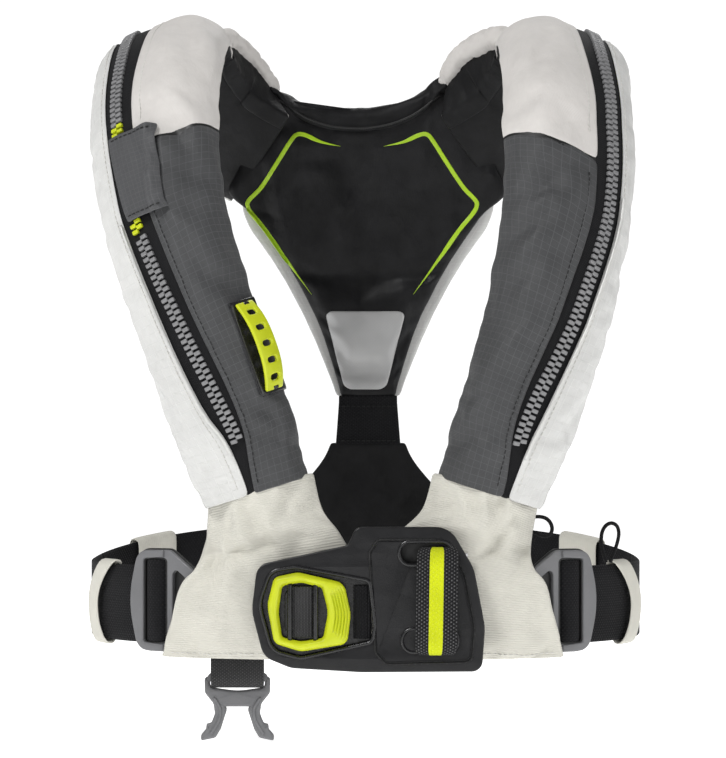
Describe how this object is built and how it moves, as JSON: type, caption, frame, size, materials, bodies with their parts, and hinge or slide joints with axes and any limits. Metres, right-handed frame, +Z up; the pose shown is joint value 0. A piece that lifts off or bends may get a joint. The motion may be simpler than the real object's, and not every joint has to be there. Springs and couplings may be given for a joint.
{
  "type": "inflatable life jacket",
  "caption": "Harness life jacket with two padded front lobes over the shoulders, a back yoke, a waist belt and a front release buckle; the lobes open and the buckle parts move.",
  "frame": {"origin": "centre of the waist belt's loop, at mid height of the belt", "axes": "+Z up, -Y the way the wearer faces, +X to the wearer's left"},
  "size_m": [0.3742, 0.2801, 0.4779],
  "materials": {
    "white_cover": "matt woven polyester",
    "grey_ripstop": "coated ripstop",
    "black_lining": "soft padded lining",
    "webbing_black": "woven webbing",
    "webbing_grey": "woven webbing",
    "zip_grey": "moulded zip teeth",
    "lime_plastic": "satin",
    "black_plastic": "satin",
    "grey_plastic": "satin",
    "moulded_black": "soft moulded sheet",
    "steel": "plated",
    "reflective": "retro-reflective",
    "bladder_film": "coated nylon",
    "clear_lens": "clear moulded"
  },
  "bodies": {
    "back": {"left_rear_shoulder_cover": "white_cover", "right_rear_shoulder_cover": "white_cover", "left_rear_lining": "black_lining", "right_rear_lining": "black_lining", "neck_collar": "black_lining", "back_pad": "black_lining", "back_cover": "white_cover", "back_reflective_patch": "reflective", "yoke_strap": "black_lining", "lumbar_panel": "black_lining", "back_belt": "webbing_black", "left_belt_keeper": "white_cover", "right_belt_keeper": "white_cover"},
    "left_front": {"left_shoulder_panel": "white_cover", "left_chest_panel": "grey_ripstop", "left_outer_panel": "white_cover", "left_zip_tape": "webbing_black", "left_zip_chain": "zip_grey", "left_lobe_lining": "black_lining", "left_waist_panel": "white_cover", "left_bladder_arm": "bladder_film", "left_side_belt": "webbing_black", "left_side_keeper": "white_cover", "front_plate": "moulded_black", "buckle_tray": "black_plastic", "buckle_ladder": "steel", "buckle_webbing": "webbing_black", "loop_anchor": "steel", "oral_tube": "black_plastic", "whistle": "lime_plastic", "light_unit": "black_plastic", "light_lens": "clear_lens", "large_cord_loop": "webbing_black", "small_cord_loop": "webbing_black"},
    "right_front": {"right_shoulder_panel": "white_cover", "right_chest_panel": "grey_ripstop", "right_outer_panel": "white_cover", "right_zip_tape": "webbing_black", "right_zip_chain": "zip_grey", "right_lobe_lining": "black_lining", "right_waist_panel": "white_cover", "right_bladder_arm": "bladder_film", "right_side_belt": "webbing_black", "right_side_keeper": "white_cover", "pull_handle_seat": "black_plastic", "inflator_body": "black_plastic", "inflator_cap": "lime_plastic"},
    "release_ring": {"release_ring": "lime_plastic"},
    "tether_loop": {"tether_loop": "webbing_black"},
    "left_adjuster": {"left_adjuster_frame": "grey_plastic", "left_adjuster_bar": "steel"},
    "right_adjuster": {"right_adjuster_frame": "grey_plastic", "right_adjuster_bar": "steel"},
    "crotch_webbing": {"crotch_webbing": "webbing_grey"},
    "crotch_clip": {"crotch_clip": "grey_plastic"},
    "pull_handle": {"pull_handle": "lime_plastic"},
    "inflator_lever": {"inflator_lever": "lime_plastic"},
    "gas_cylinder": {"gas_cylinder": "steel"},
    "zip_tab": {"zip_tab": "grey_ripstop"},
    "oral_tube_cap": {"oral_tube_cap": "lime_plastic"}
  },
  "joints": [
    {"name": "left_front_open", "type": "hinge", "parent": "back", "child": "left_front", "pos_m": [0.188, 0, 0], "axis": [0, 0, 1], "range_deg": [0, 38]},
    {"name": "right_front_open", "type": "hinge", "parent": "back", "child": "right_front", "pos_m": [-0.188, 0, 0], "axis": [0, 0, 1], "range_deg": [-38, 0]},
    {"name": "release_ring_lift", "type": "hinge", "parent": "left_front", "child": "release_ring", "pos_m": [-0.0575, -0.149, -0.004], "axis": [0, 0, -1], "range_deg": [0, 30], "stiffness_Nm_per_rad": 0.02},
    {"name": "tether_loop_swing", "type": "hinge", "parent": "left_front", "child": "tether_loop", "pos_m": [0.0472, -0.148, 0], "axis": [0, 0, 1], "range_deg": [-12, 12]},
    {"name": "left_adjuster_tilt", "type": "hinge", "parent": "left_front", "child": "left_adjuster", "pos_m": [0.10748, -0.12019, 0], "axis": [0, 0, -1], "range_deg": [0, 8]},
    {"name": "right_adjuster_tilt", "type": "hinge", "parent": "right_front", "child": "right_adjuster", "pos_m": [-0.10748, -0.12019, 0], "axis": [0, 0, 1], "range_deg": [0, 8]},
    {"name": "crotch_webbing_swing", "type": "hinge", "parent": "right_front", "child": "crotch_webbing", "pos_m": [-0.0815, -0.103, -0.0305], "axis": [1, 0, 0], "range_deg": [-25, 25]},
    {"name": "crotch_clip_swing", "type": "hinge", "parent": "crotch_webbing", "child": "crotch_clip", "pos_m": [-0.0815, -0.103, -0.0465], "axis": [1, 0, 0], "range_deg": [-40, 40]},
    {"name": "pull_handle_pull", "type": "slide", "parent": "right_front", "child": "pull_handle", "axis": [0.693, -0.6766, 0.2489], "range_m": [0, 0.04]},
    {"name": "inflator_lever_turn", "type": "hinge", "parent": "right_front", "child": "inflator_lever", "pos_m": [-0.101, -0.13058, 0.20329], "axis": [-0.3061, -0.9504, -0.0556], "range_deg": [0, 45]},
    {"name": "gas_cylinder_unscrew", "type": "hinge", "parent": "right_front", "child": "gas_cylinder", "pos_m": [-0.09542, -0.12862, 0.13904], "axis": [-0.319, 0.0473, 0.9466], "continuous": true},
    {"name": "zip_tab_lift", "type": "hinge", "parent": "right_front", "child": "zip_tab", "pos_m": [-0.13033, -0.13478, 0.28154], "axis": [-0.1512, 0.3612, 0.9201], "range_deg": [0, 100]},
    {"name": "oral_tube_cap_pull", "type": "slide", "parent": "left_front", "child": "oral_tube_cap", "axis": [0.3001, 0.1636, 0.9398], "range_m": [0, 0.006]}
  ],
  "couplings": [
    {"joint": "right_front_open", "follows": "left_front_open", "ratio": -1},
    {"joint": "inflator_lever_turn", "follows": "pull_handle_pull", "rad_per_m": 19.615}
  ]
}
